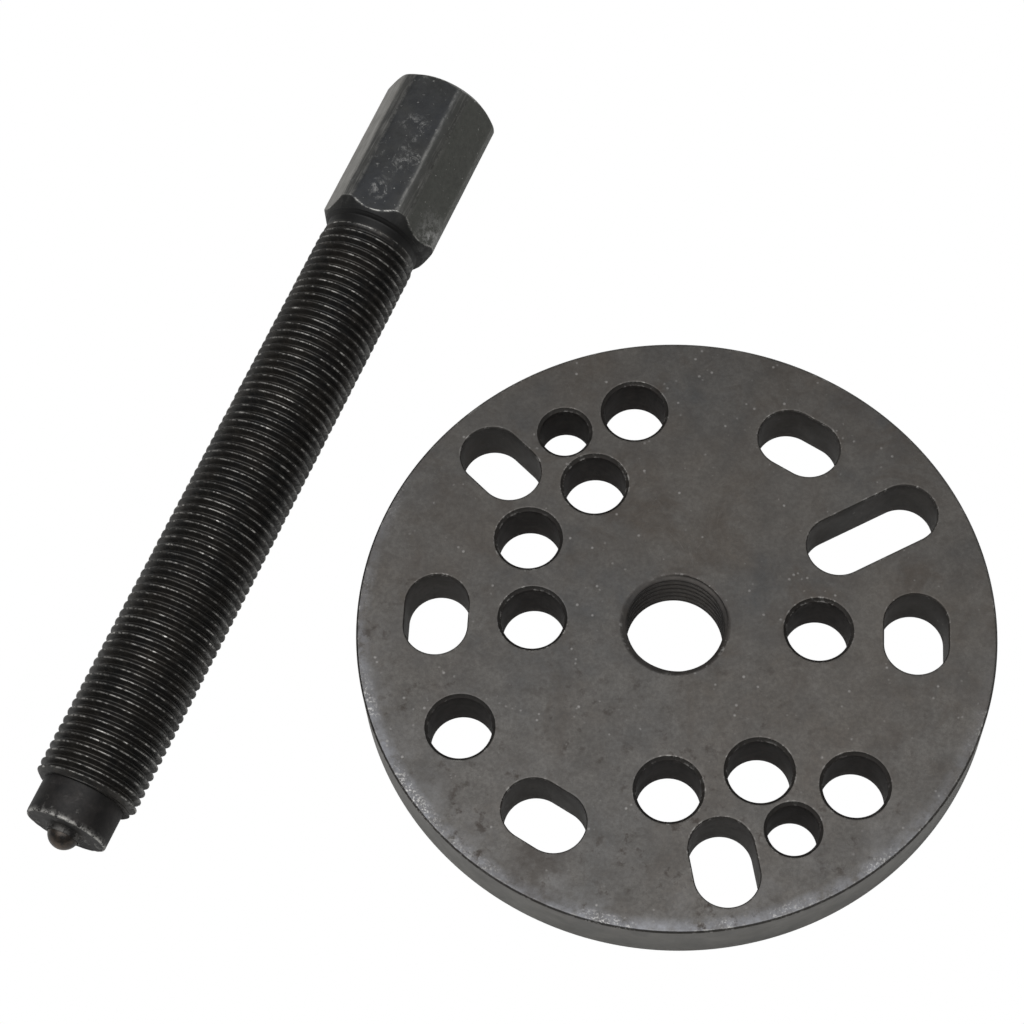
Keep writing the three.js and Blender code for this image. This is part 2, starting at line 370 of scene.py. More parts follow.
def plate_marks(nodes, base, x, y, reach, front):
    """Pits, a smudge, dust, chips along the rim's top edge and a few faint scratches."""
    pits = nodes.times(nodes.patches(470, 4, 0.7, 0.56, 0.66), nodes.patches(120, 3, 0.6, 0.44, 0.58), front)
    base = nodes.paint(base, PIT_BROWN, pits, 0.75)
    smudge = nodes.times(nodes.near(x, y, RIM_SMUDGE_MM, 42, 4), nodes.patches(260, 5, 0.7, 0.34, 0.56))
    base = nodes.paint(base, SMUDGE_BROWN, smudge, 0.55)
    dust = nodes.times(nodes.remap(nodes.cells(800), 0.22, 0.10), nodes.patches(300, 2, 0.55, 0.57, 0.65))
    base = nodes.paint(base, DUST_GREY, dust, 0.55)
    knock = nodes.near(x, y, RIM_KNOCK_MM, 50, 5)
    chip_place = nodes.math("MAXIMUM", knock, nodes.times(nodes.patches(90, 3, 0.6, 0.50, 0.62), 0.8))
    chips = nodes.times(nodes.patches(2400, 3, 0.75, 0.54, 0.60), chip_place,
                        nodes.ramp_mm(reach, 45.6, 47.0), front)
    base = nodes.paint(base, CHIPPED_STEEL, chips, 0.85)
    scratch = nodes.band(nodes.noise(130, 3, 0.5, distortion=1.2), 0.5, 0.0022)
    scratch = nodes.times(scratch, nodes.patches(70, 2, 0.5, 0.55, 0.62))
    return nodes.paint(base, SCRATCH_GREY, scratch, 0.12)


def plate_edges(nodes, base, cloud, reach, wall_shade):
    """The holes' walls darkened by painted shade, the rim's wall lightened by a painted reflection, painted
    shade on the holes' countersinks and the rim's chamfer, and the worn edges.
    """
    wall_shade_tone = nodes.mix(nodes.patches(900, 4, 0.7, 0.40, 0.62), *HOLE_WALL_SHADE_TONES)
    # Painted shade on the holes' walls.
    base = nodes.paint(base, wall_shade_tone, wall_shade, 0.9)
    # Painted reflection: the rim's wall is painted lighter than the face.
    rim_wall = nodes.ramp_mm(reach, PLATE_RADIUS_MM - 0.02, PLATE_RADIUS_MM - 0.005)
    base = nodes.mix(rim_wall, base, nodes.mix(cloud, *RIM_WALL_REFLECTION_TONES))
    # Painted shade on the chamfers of the rim and the holes.
    base = nodes.paint(base, CHAMFER_PAINTED_SHADE, nodes.attribute("chamfer"), 0.4)
    worn = nodes.times(nodes.attribute("edge"), nodes.patches(800, 4, 0.7, 0.53, 0.61),
                       nodes.patches(110, 3, 0.6, 0.38, 0.58))
    return nodes.paint(base, PLATE_WORN_EDGE, worn, 0.8)


def plate_material():
    nodes = Nodes("black_oxide_plate", PLATE_PLACE)
    x, y, z = nodes.axes()
    reach = nodes.math("POWER", nodes.sum_of_squares(x, y), 0.5)
    front = nodes.ramp_mm(nodes.math("ADD", nodes.times(x, 0.35), y), 15, -35)
    face = nodes.ramp_mm(z, PLATE_THICKNESS_MM - 0.1, PLATE_THICKNESS_MM - 0.02)
    cloud = nodes.patches(170, 6, 0.7, 0.38, 0.64, distortion=0.6)
    base = plate_oxide(nodes, cloud, front)
    # A painted blue sheen towards the rim on the front side, which stands in for a reflection there.
    near_rim = nodes.ramp_mm(reach, 40.0, 46.5)
    painted_sheen = nodes.times(nodes.patches(140, 6, 0.7, 0.44, 0.62), nodes.remap(near_rim, 0.0, 1.0, 0.15, 1.0),
                        front, face)
    base = nodes.paint(base, PAINTED_SHEEN_BLUE, painted_sheen, 0.4)
    # On the rim's own edge at the front the oxide is rubbed, with more painted sheen over it.
    rim_rub_and_sheen = nodes.times(nodes.ramp_mm(reach, 45.2, 46.8), front, face,
                          nodes.patches(420, 5, 0.72, 0.34, 0.62))
    base = nodes.paint(base, RUBBED_AND_SHEEN_BLUE, rim_rub_and_sheen, 0.7)
    base = plate_marks(nodes, base, x, y, reach, front)
    wall_shade = nodes.attribute("wall_shade")
    base = plate_edges(nodes, base, cloud, reach, wall_shade)
    roughness = nodes.remap(nodes.noise(260, 4, 0.6), 0.3, 0.7, 0.42, 0.52)
    roughness = nodes.math("SUBTRACT", roughness, nodes.times(painted_sheen, 0.06))
    roughness = nodes.math("ADD", roughness, nodes.times(wall_shade, 0.12))
    normal = nodes.bump(nodes.noise(2200, 2, 0.6), strength=0.6, distance_mm=0.016)
    normal = nodes.bump(nodes.noise(420, 4, 0.6), strength=0.45, distance_mm=0.04, normal=normal)
    return nodes.finish(base, roughness, normal, metallic=0.75, index=1.65)


# ---------------------------------------------------------------- the screw's black oxide

THREAD_TONES = ((0.026, 0.026, 0.026), (0.040, 0.036, 0.032))
GRIME_GREY = (0.085, 0.078, 0.068)
CREST_BARE_AND_HIGHLIGHT = (0.80, 0.78, 0.74)
HEAD_TONES = ((0.048, 0.051, 0.056), (0.066, 0.067, 0.066))
HEAD_GREEN = (0.092, 0.094, 0.084)
HEAD_FINE_DARK = (0.036, 0.036, 0.035)
STRIP_TONES = ((0.135, 0.135, 0.128), (0.31, 0.305, 0.29))
BRUSHED_AND_LIT_FACE_TONES = ((0.180, 0.170, 0.152), (0.29, 0.278, 0.256))
SCUFF_GREY = (0.42, 0.42, 0.41)
SPECK_GREY = (0.42, 0.42, 0.40)
NOSE_TONES = ((0.016, 0.015, 0.015), (0.030, 0.027, 0.026))
NOSE_RUBBED = (0.30, 0.295, 0.28)
SCREW_WORN_EDGE = (0.58, 0.57, 0.54)
SHADED_OXIDE = (0.016, 0.016, 0.016)

# The bright line on the thread, bare steel worn on the crest and a painted highlight, as shares of the pitch:
# how far it lies from the crest, towards its lit edge, and its half width.
CREST_LINE_PHASE = 0.045
CREST_LINE_WIDTH = 0.095
# Spots on the head's upper flat where the finish is scuffed: (x, z, half width, half length), in millimetres.
HEAD_SCUFFS = (
    (0.0, 118.4, 2.6, 1.8),
    (-0.6, 115.2, 1.0, 2.6),
    (-1.2, 111.6, 1.4, 1.9),
    (0.1, 105.6, 2.0, 2.1),
)
# The worn strips along the upper flat's two edges, the one on the lit side brightened with a painted
# highlight: how far they lie from its middle, and their half width.
STRIP_PLACE_MM = 4.78
STRIP_WIDTH_MM = 1.3


def crest_line(nodes, x, y, z):
    """The line along the crest of the thread, where bare steel and a painted highlight go. Its middle lies
    where the phase's fraction is a half.
    """
    turn = nodes.math("DIVIDE", nodes.math("ARCTAN2", y, x), 2 * math.pi)
    phase = nodes.math("SUBTRACT", nodes.math("DIVIDE", z, PITCH_MM * MM), turn)
    phase = nodes.math("SUBTRACT", phase, FIRST_CREST_MM / PITCH_MM - 0.5 - CREST_LINE_PHASE)
    return nodes.band(nodes.math("FRACT", phase), 0.5, CREST_LINE_WIDTH)


def head_scuffs(nodes, base, head, x, y, z):
    """Scuffs on the upper flat, and stray smears all over the head."""
    spots = []
    for middle_x, middle_z, half_width, half_length in HEAD_SCUFFS:
        across = nodes.math("DIVIDE", nodes.math("SUBTRACT", x, middle_x * MM), half_width * MM)
        along = nodes.math("DIVIDE", nodes.math("SUBTRACT", z, middle_z * MM), half_length * MM)
        spots.append(nodes.remap(nodes.sum_of_squares(across, along), 1.3, 0.1))
    place = spots[0]
    for spot in spots[1:]:
        place = nodes.math("MAXIMUM", place, spot)
    place = nodes.times(place, nodes.ramp_mm(y, 8.0, 8.6))
    curl = nodes.patches(520, 6, 0.75, 0.50, 0.60, distortion=1.8)
    base = nodes.paint(base, SCUFF_GREY, place, curl, nodes.patches(900, 4, 0.8, 0.40, 0.66), 0.95)
    stray = nodes.times(nodes.patches(380, 6, 0.75, 0.565, 0.60, distortion=2.0),
                        nodes.patches(140, 2, 0.5, 0.52, 0.66))
    return nodes.paint(base, SCRATCH_GREY, stray, head, 0.45)


def head_corners(nodes, base, head, x, y, z):
    """The worn strips beside the upper flat, the lit side's one brighter by a painted highlight, a side face
    painted lighter as a painted reflection with brushed streaks, the corner that is struck most, and specks.
    """
    lengthwise = nodes.noise(1, 4, 0.7, vector=nodes.scaled((1600, 1600, 110)))
    upper = nodes.ramp_mm(y, 0.0, 1.0)
    strip = nodes.band(nodes.math("ABSOLUTE", x), STRIP_PLACE_MM * MM, STRIP_WIDTH_MM * MM)
    strip = nodes.times(strip, upper, head)
    strip_tone = nodes.mix(nodes.remap(lengthwise, 0.48, 0.62), *STRIP_TONES)
    patchy = nodes.remap(nodes.noise(240, 4, 0.7), 0.32, 0.56, 0.55, 1.0)
    # Painted highlight: the strip on the lit side (+x) is painted brighter than the other.
    lit_side_highlight = nodes.ramp_mm(x, -4.0, 4.0, 0.55, 1.0)
    base = nodes.paint(base, strip_tone, strip, patchy, lit_side_highlight)
    # Painted reflection: the side face on the lit side is painted lighter, with brushed streaks along the
    # screw.
    brushed_and_lit_face_tone = nodes.mix(nodes.remap(lengthwise, 0.44, 0.60), *BRUSHED_AND_LIT_FACE_TONES)
    base = nodes.paint(base, brushed_and_lit_face_tone, nodes.ramp_mm(x, 5.2, 5.8), upper, head, 0.9)
    struck = nodes.times(nodes.ramp_mm(x, -6.8, -8.6), nodes.ramp_mm(z, 108.5, 103.5),
                         nodes.patches(700, 5, 0.8, 0.44, 0.60))
    base = nodes.paint(base, SCUFF_GREY, struck, 0.85)
    return nodes.paint(base, SPECK_GREY, nodes.patches(1300, 3, 0.7, 0.67, 0.71), head, 0.8)


def nose_finish(nodes, base, nose, z):
    """The nose is darker than the thread, and rubbed towards its end."""
    nose_tone = nodes.mix(nodes.patches(450, 5, 0.7, 0.42, 0.60), *NOSE_TONES)
    base = nodes.paint(base, nose_tone, nose, 0.9)
    rub = nodes.times(nodes.patches(520, 6, 0.8, 0.57, 0.66, distortion=0.8), nose,
                      nodes.ramp_mm(z, -3.6, -6.2, 0.15, 1.0))
    return nodes.paint(base, NOSE_RUBBED, rub, 0.6)


def screw_material():
    nodes = Nodes("black_oxide_screw", SCREW_PLACE)
    x, y, z = nodes.axes()
    head = nodes.ramp_mm(z, HEAD_START_MM - 0.1, HEAD_START_MM + 0.3)
    neck = nodes.math("SUBTRACT", nodes.ramp_mm(z, THREAD_END_MM + 0.1, THREAD_END_MM + 0.4), head)
    nose = nodes.ramp_mm(z, THREAD_START_MM + 0.1, THREAD_START_MM - 0.1)
    threaded = nodes.math("SUBTRACT", nodes.math("SUBTRACT", 1.0, nose), nodes.math("ADD", head, neck))
    base = nodes.mix(nodes.patches(170, 5, 0.65, 0.36, 0.64), *THREAD_TONES)
    base = nodes.paint(base, GRIME_GREY, nodes.patches(1100, 4, 0.8, 0.50, 0.66), threaded, 0.6)
    head_tone = nodes.mix(nodes.patches(160, 5, 0.65, 0.36, 0.64), *HEAD_TONES)
    head_tone = nodes.mix(nodes.ramp_mm(x, -3.8, -5.2), head_tone, HEAD_GREEN)
    base = nodes.mix(head, base, head_tone)
    base = nodes.paint(base, HEAD_FINE_DARK, nodes.patches(1500, 3, 0.8, 0.42, 0.62), head, 0.30)
    base = head_scuffs(nodes, base, head, x, y, z)
    base = head_corners(nodes, base, head, x, y, z)
    base = nose_finish(nodes, base, nose, z)
    # Bare steel worn on the crest, with a painted highlight: the line is painted bright along the crest's lit
    # edge.
    crest_wear_and_highlight = nodes.times(crest_line(nodes, x, y, z), threaded, nodes.patches(420, 4, 0.75, 0.46, 0.58),
                             nodes.patches(1700, 2, 0.6, 0.38, 0.54))
    bright = nodes.remap(nodes.patches(300, 3, 0.7, 0.55, 0.68), 0.0, 1.0, 0.36, 1.0)
    base = nodes.paint(base, CREST_BARE_AND_HIGHLIGHT, crest_wear_and_highlight, bright)
    edge_wear = nodes.times(nodes.attribute("edge"), nodes.patches(900, 4, 0.75, 0.44, 0.56))
    base = nodes.paint(base, SCREW_WORN_EDGE, edge_wear, 0.9)
    under = nodes.math("MAXIMUM", neck, nodes.attribute("under"))
    base = nodes.paint(base, SHADED_OXIDE, under, 0.85)
    roughness = nodes.remap(nodes.noise(500, 4, 0.6), 0.3, 0.7, 0.32, 0.46)
    dull = nodes.math("ADD", nodes.times(nose, 0.18), nodes.times(under, 0.15))
    roughness = nodes.math("ADD", roughness, nodes.math("ADD", dull, nodes.times(threaded, 0.06)))
    normal = nodes.bump(nodes.noise(2400, 2, 0.6), strength=0.5, distance_mm=0.012)
    normal = nodes.bump(nodes.noise(600, 4, 0.65), strength=0.4, distance_mm=0.03, normal=normal)
    return nodes.finish(base, roughness, normal, metallic=0.7, index=1.65)


# ---------------------------------------------------------------- the ball's hardened steel

BALL_TONES = ((0.020, 0.018, 0.017), (0.060, 0.046, 0.035))
BALL_RUBBED = (0.15, 0.11, 0.08)


def ball_material():
    nodes = Nodes("hardened_ball", SCREW_PLACE)
    z = nodes.axes()[2]
    base = nodes.mix(nodes.patches(600, 4, 0.65, 0.42, 0.62), *BALL_TONES)
    tip = nodes.ramp_mm(z, BALL_CENTRE_MM - 1.4, BALL_CENTRE_MM - 2.2)
    base = nodes.paint(base, BALL_RUBBED, tip, nodes.patches(900, 3, 0.6, 0.40, 0.55), 0.6)
    roughness = nodes.remap(nodes.noise(900, 4, 0.6), 0.3, 0.7, 0.26, 0.42)
    normal = nodes.bump(nodes.noise(2200, 3, 0.6), strength=0.3, distance_mm=0.006)
    return nodes.finish(base, roughness, normal, metallic=0.6, index=1.7)


# ---------------------------------------------------------------- the plate

RIM_COLUMNS = 288
HOLE_COLUMNS = 96
TAPPED_COLUMNS = 144
WALL_ROWS = 5
TAPPED_ROWS = 110
RIM_BREAK_MM = 0.30
HOLE_BREAK_MM = 0.5
SLOT_BREAK_MM = 0.18
# How far the two edges of each break are softened, and the flat margin round every opening.
EDGE_SOFTNESS_MM = 0.036
FACE_MARGIN_MM = 0.22
# The radius that the tapped hole's countersink loses with each millimetre of depth, and how deep it is worn.
COUNTERSINK_SLOPE = 2.6
COUNTERSINK_WEAR_MM = 0.12
# How dark the walls' painted shade is, from 0 for the face's own tone to 1 for a round hole's wall.
SLOT_WALL_SHADE = 0.5
TAPPED_WALL_SHADE = 0.38
FILL_TOLERANCE_MM = 1e-7


def circle_outline(centre, radius, columns):
    """Points round a circle, with the outward directions there."""
    angles = np.arange(columns) / columns * 2 * math.pi
    normals = np.stack([np.cos(angles), np.sin(angles)], axis=1)
    return np.array(centre) + normals * radius, normals


def slot_outline(centre, radius, span, direction, columns):
    """Points round a slot whose round ends' centres are a span apart, with the outward directions there."""
    angles = np.arange(columns) / columns * 2 * math.pi + math.pi / columns
    normals = np.stack([np.cos(angles), np.sin(angles)], axis=1)
    ends = np.sign(normals[:, :1]) * np.array([[span / 2, 0]])
    points = normals * radius + ends
    turn = np.array([[math.cos(direction), math.sin(direction)], [-math.sin(direction), math.cos(direction)]])
    return np.array(centre) + points @ turn, normals @ turn


def polar_place(reach, angle):
    """A place on the plate, from its distance and its angle from the plate's axis of symmetry."""
    direction = math.radians(angle + SYMMETRY_ANGLE)
    return reach * math.cos(direction), reach * math.sin(direction)


def contains(outline, point):
    """Whether a closed outline holds a point, by counting the crossings of a ray."""
    x, y = point
    x0, y0 = outline[:, 0], outline[:, 1]
    x1, y1 = np.roll(x0, -1), np.roll(y0, -1)
    crosses = (y0 > y) != (y1 > y)
    with np.errstate(divide="ignore", invalid="ignore"):
        at = x0 + (y - y0) / (y1 - y0) * (x1 - x0)
    return bool(np.count_nonzero(crosses & (x < at)) % 2)


class PlateMesh:
    """Rings of points join into walls, and the flat faces fill the space between the rings."""

    def __init__(self):
        self.vertices = []
        self.faces = []
        self.edge = []
        self.wall_shade = []
        self.chamfer = []

    def ring(self, points, height, edge, wall_shade, chamfer=0.0):
        """One ring of points at a height, and how far its surface is a worn edge, in a wall's painted shade
        and a chamfer.
        """
        first = len(self.vertices)
        self.vertices += [(x, y, height) for x, y in points]
        self.edge += [edge] * len(points)
        self.wall_shade += [wall_shade] * len(points)
        self.chamfer += [chamfer] * len(points)
        return list(range(first, first + len(points)))

    def join(self, upper, lower, outward):
        """A band of faces between two rings, which faces away from the rings' middle or towards it."""
        count = len(upper)
        for here in range(count):
            there = (here + 1) % count
            face = (upper[here], lower[here], lower[there], upper[there])
            self.faces.append(face if outward else face[::-1])

    def wall_of(self, points, normals, edge_break, sign, shade_darkness=1.0):
        """The wall of one outline, from the top face's ring to the bottom one's. sign is 1 for the rim, which
        faces along its normals, and -1 for a hole."""
        top = PLATE_THICKNESS_MM
        soft = EDGE_SOFTNESS_MM
        slope = edge_break - soft
        # Each step is (distance from the wall, less than 0 in the steel, height, edge wear, share of the
        # wall's painted shade, chamfer).
        upper_steps = [
            (-edge_break - FACE_MARGIN_MM, top, 0.0, 0.0, 0.0),
            (-edge_break - 0.03, top, 0.5, 0.0, 0.0),
            (-edge_break + 0.02, top - 0.012, 1.0, 0.0, 0.3),
            (-slope, top - soft, 0.6, 0.0, 1.0),
            (-edge_break / 2, top - edge_break / 2, 0.0, 0.2, 1.0),
            (-soft, top - slope, 0.8, 0.6, 0.8),
            (-0.012, top - edge_break + 0.02, 1.0, 0.9, 0.2),
            (0.0, top - edge_break - 0.04, 0.2, 1.0, 0.0),
        ]
        middle_heights = np.linspace(top - edge_break, edge_break, WALL_ROWS + 2)[1:-1]
        middle_steps = [(0.0, height, 0.0, 1.0, 0.0) for height in middle_heights]
        lower_steps = [(away, top - height, *rest) for away, height, *rest in reversed(upper_steps)]
        rings = []
        for away, height, edge, wall_shade, chamfer in upper_steps + middle_steps + lower_steps:
            # Only the holes' walls take the painted wall shade.
            wall_shade_share = wall_shade * shade_darkness if sign < 0 else 0.0
            rings.append(self.ring(points + normals * away * sign, height, edge, wall_shade_share, chamfer))
        for upper, lower in zip(rings, rings[1:]):
            self.join(upper, lower, sign > 0)
        return rings[0], rings[-1]

    def tapped_wall(self):
        """The tapped hole's wall: a fine right-hand thread between two countersinks."""
        top = PLATE_THICKNESS_MM
        angles = np.arange(TAPPED_COLUMNS) / TAPPED_COLUMNS * 2 * math.pi
        outward = np.stack([np.cos(angles), np.sin(angles)], axis=1)
        heights = np.concatenate([[top, top], np.linspace(top, 0, TAPPED_ROWS), [0, 0]])
        rings = []
        for row, height in enumerate(heights):
            depth = min(height, top - height)
            phase = height / PITCH_MM - angles / (2 * math.pi)
            ridge = 0.5 + 0.5 * np.cos(2 * math.pi * phase)
            thread = TAPPED_CREST_MM + (TAPPED_ROOT_MM - TAPPED_CREST_MM) * ridge ** 1.3
            radius = np.maximum(thread, TAPPED_MOUTH_MM - COUNTERSINK_SLOPE * depth)
            edge = 0.6 if depth < COUNTERSINK_WEAR_MM else 0.0
            # The tapped hole's wall takes part of the painted wall shade.
            wall_shade = TAPPED_WALL_SHADE
            if row in (0, len(heights) - 1):
                radius = np.full(TAPPED_COLUMNS, TAPPED_MOUTH_MM + FACE_MARGIN_MM)
                edge = wall_shade = 0.0
            rings.append(self.ring(outward * radius[:, None], height, edge, wall_shade))
        for upper, lower in zip(rings, rings[1:]):
            self.join(upper, lower, False)
        return rings[0], rings[-1]

    def fill(self, loops, upward):
        """Fills a face between its outer loop and the holes' loops, all given as lists of vertices."""
        used = [index for loop in loops for index in loop]
        flat = [Vector(self.vertices[index][:2]) for index in used]
        sides = []
        start = 0
        for loop in loops:
            count = len(loop)
            sides += [(start + here, start + (here + 1) % count) for here in range(count)]
            start += count
        _, _, triangles, _, _, _ = delaunay_2d_cdt(flat, sides, [], 0, FILL_TOLERANCE_MM)
        outlines = [np.array([self.vertices[index][:2] for index in loop]) for loop in loops]
        for triangle in triangles:
            middle = sum((flat[corner] for corner in triangle), Vector((0, 0))) / 3
            inside = [contains(outline, middle) for outline in outlines]
            if not inside[0] or any(inside[1:]):
                continue
            face = tuple(used[corner] for corner in triangle)
            a, b, c = (flat[corner] for corner in triangle)
            upwards = (b - a).cross(c - a) > 0
            self.faces.append(face if upwards == upward else face[::-1])


def build_plate(material):
    mesh = PlateMesh()
    tops, bottoms = [], []

    def add(rings):
        tops.append(rings[0])
        bottoms.append(rings[1])

    points, normals = circle_outline((0, 0), PLATE_RADIUS_MM, RIM_COLUMNS)
    add(mesh.wall_of(points, normals, RIM_BREAK_MM, 1))
    add(mesh.tapped_wall())
    for reach, angle, radius in ROUND_HOLES:
        points, normals = circle_outline(polar_place(reach, angle), radius, HOLE_COLUMNS)
        add(mesh.wall_of(points, normals, HOLE_BREAK_MM, -1))
    for reach, angle, span, turn in SLOTS:
        direction = math.radians(angle + SYMMETRY_ANGLE + turn)
        centre = polar_place(reach, angle)
        points, normals = slot_outline(centre, HOLE_RADIUS_MM, span, direction, HOLE_COLUMNS)
        add(mesh.wall_of(points, normals, SLOT_BREAK_MM, -1, SLOT_WALL_SHADE))
    mesh.fill(tops, True)
    mesh.fill(bottoms, False)
    make_object("puller_plate_body", mesh.vertices, mesh.faces, PLATE_PLACE, material, "puller_plate",
                sharp_angle=40,
                attributes={"edge": mesh.edge, "wall_shade": mesh.wall_shade, "chamfer": mesh.chamfer})


# ---------------------------------------------------------------- the forcing screw

SECTOR_COLUMNS = 26
CORNER_CROWDING = 0.62
# The thread's rows in one pitch, as their distances from the crest in pitches.
THREAD_ROW_PHASES = (0.0, 0.07, 0.105, 0.14, 0.27, 0.40, 0.45, 0.5, 0.55, 0.60, 0.73, 0.86, 0.895, 0.93)
ROWS_PER_TURN = len(THREAD_ROW_PHASES)
CREST_HALF_WIDTH = 0.09
ROOT_START = 0.43
# How far dents and chips lower the crest.
CREST_DENT_MM = 0.04
CREST_CHIP_MM = 0.09
# The thread's first turn is chamfered, and its last one runs out into the neck.
START_CHAMFER_MM = 0.8
START_CHAMFER_SLOPE = 1.2
RUNOUT_MM = 1.3
NOSE_BEVEL_MM = 0.22
HEXAGON_SHARPNESS = 260
# How widely the hexagon's turned corners, its cone under the head and the cone at its end are rounded over.
CORNER_SOFTNESS_MM = 0.24
UNDER_SOFTNESS_MM = 0.05
END_SOFTNESS_MM = 0.10
HEAD_DENT_MM = 0.012


def screw_angles():
    """Angles round the screw, closer together at the hexagon's six corners."""
    share = np.arange(SECTOR_COLUMNS) / SECTOR_COLUMNS
    sector = share - CORNER_CROWDING * np.sin(2 * math.pi * share) / (2 * math.pi)
    return np.concatenate([(sector + corner) * math.pi / 3 for corner in range(6)])


def row_of(angles, height, radius, edge=0.0, under=0.0):
    """One row of points round the screw: its heights, radii, edge wear and how far it is under the head. Each
    is one number, or an array with a number for each angle."""
    return tuple(np.broadcast_to(value, angles.shape) for value in (height, radius, edge, under))


def thread_radius(height, angles):
    """The external thread: flat crests with soft edges, and the small dents and low spots of a used one."""
    phase = (height - FIRST_CREST_MM) / PITCH_MM - angles / (2 * math.pi)
    turn = np.round(phase)
    away = np.abs(phase - turn)
    flank = np.clip((away - CREST_HALF_WIDTH) / (ROOT_START - CREST_HALF_WIDTH), 0, 1)
    bow = 0.10 * flank * (1 - flank) * (1 - 2 * flank)
    rounding = 0.05 * smooth_step(0, 0.14, away) * (1 - flank)
    flank = flank + bow + rounding
    x, y = np.cos(angles) * 3, np.sin(angles) * 3
    wound = turn + angles / (2 * math.pi)
    dents = smooth_noise(x + 40, y + 40, wound * 0.73 + 50)
    chips = smooth_step(0.74, 0.9, smooth_noise(x * 3 + 20, y * 3 + 20, wound * 1.9 + 7))
    crest = MAJOR_RADIUS_MM - CREST_DENT_MM * dents - CREST_CHIP_MM * chips
    return crest - (crest - MAJOR_RADIUS_MM + THREAD_DEPTH_MM) * flank


def thread_rows(angles):
    """Rows that follow the thread's helix. A row that would run past either end of the thread stays on that
    end's plane, where rows fall together and are welded into one."""
    first_turn = math.floor((THREAD_START_MM - FIRST_CREST_MM) / PITCH_MM) - 1
    last_turn = math.ceil((THREAD_END_MM - FIRST_CREST_MM) / PITCH_MM)
    rows = []
    for turn in range(first_turn, last_turn + 1):
        for phase in THREAD_ROW_PHASES:
            height = FIRST_CREST_MM + (turn + phase + angles / (2 * math.pi)) * PITCH_MM
            height = np.clip(height, THREAD_START_MM, THREAD_END_MM)
            chamfer = MAJOR_RADIUS_MM - START_CHAMFER_MM + (height - THREAD_START_MM) * START_CHAMFER_SLOPE
            radius = np.minimum(thread_radius(height, angles), chamfer)
            fade = smooth_step(THREAD_END_MM - RUNOUT_MM, THREAD_END_MM, height)
            radius = np.maximum(radius * (1 - fade) + NECK_RADIUS_MM * fade, NOSE_RADIUS_MM + 0.1)
            rows.append(row_of(angles, height, radius))
    return rows


def nose_rows(angles):
    """Rows from the bottom of the ball seat out over the lip and the nose, up to the thread."""
    rows = []
    mouth_angle = math.asin((BALL_CENTRE_MM - LIP_END_MM) / SEAT_RADIUS_MM)
    for share in np.linspace(0.02, 1, 14):
        tilt = math.pi / 2 - share * (math.pi / 2 + mouth_angle)
        height = BALL_CENTRE_MM + SEAT_RADIUS_MM * math.sin(tilt)
        rows.append(row_of(angles, height, SEAT_RADIUS_MM * math.cos(tilt)))
    inner = SEAT_RADIUS_MM * math.cos(mouth_angle)
    rows.append(row_of(angles, LIP_END_MM - 0.02, (inner + LIP_MOUTH_MM) / 2, edge=0.2))
    for share in np.linspace(0, 1, 7):
        bend = share * math.pi / 2
        height = LIP_END_MM + (NOSE_END_MM - LIP_END_MM) * math.sin(bend)
        radius = LIP_MOUTH_MM + (LIP_BASE_MM + 0.15 - LIP_MOUTH_MM) * (1 - math.cos(bend))
        rows.append(row_of(angles, height, radius, edge=0.2 * (1 - share)))
    wobble = smooth_noise(np.cos(angles) * 2 + 9, np.sin(angles) * 2 + 9, 3.0) - 0.5
    nicks = smooth_step(0.62, 0.85, smooth_noise(np.cos(angles) * 6 + 3, np.sin(angles) * 6 + 3, 8.0))
    for radius, edge in ((4.4, 0.0), (5.2, 0.0), (5.8, 0.0), (6.0, 0.15)):
        rows.append(row_of(angles, NOSE_END_MM + 0.02 * wobble, radius, edge=edge))
    for share in (0.0, 0.25, 0.5, 0.75, 1.0):
        bend = share * math.pi / 2
        height = NOSE_END_MM + NOSE_BEVEL_MM * (1 - math.cos(bend)) + 0.06 * nicks * (1 - share)
        radius = NOSE_RADIUS_MM - NOSE_BEVEL_MM * (1 - math.sin(bend)) + 0.05 * wobble * (1 - share)
        rows.append(row_of(angles, height, radius - 0.04 * nicks, edge=1.0 if share < 1 else 0.6))
    for height in np.linspace(NOSE_END_MM + 0.55, THREAD_START_MM - 0.12, 12):
        rows.append(row_of(angles, height, NOSE_RADIUS_MM, edge=0.15 if height < NOSE_END_MM + 0.6 else 0.0))
    rows.append(row_of(angles, THREAD_START_MM - 0.03, NOSE_RADIUS_MM + 0.02))
    return rows


def hexagon_radius(angles):
    """The hexagon's radius at each angle, with flats facing up and down and slightly rounded corners."""
    facing = [np.abs(np.cos(angles - math.radians(normal))) for normal in (30, 90, 150)]
    return HEAD_FLAT_MM / sum(part ** HEXAGON_SHARPNESS for part in facing) ** (1 / HEXAGON_SHARPNESS)


def head_heights():
    """The heights of the hexagon's rows, closer together where the cones cut its corners."""
    under_depth = (HEAD_CORNER_MM - HEAD_UNDER_FACE_MM) * HEAD_UNDER_SLOPE
    end_depth = (HEAD_CORNER_MM - HEAD_END_FACE_MM) * HEAD_END_SLOPE
    return np.concatenate([
        HEAD_START_MM + np.linspace(0, under_depth + 0.4, 44),
        np.linspace(HEAD_START_MM + under_depth + 0.9, HEAD_END_MM - end_depth - 0.9, 34),
        HEAD_END_MM - end_depth - 0.4 + np.linspace(0, end_depth + 0.4, 36),
    ])


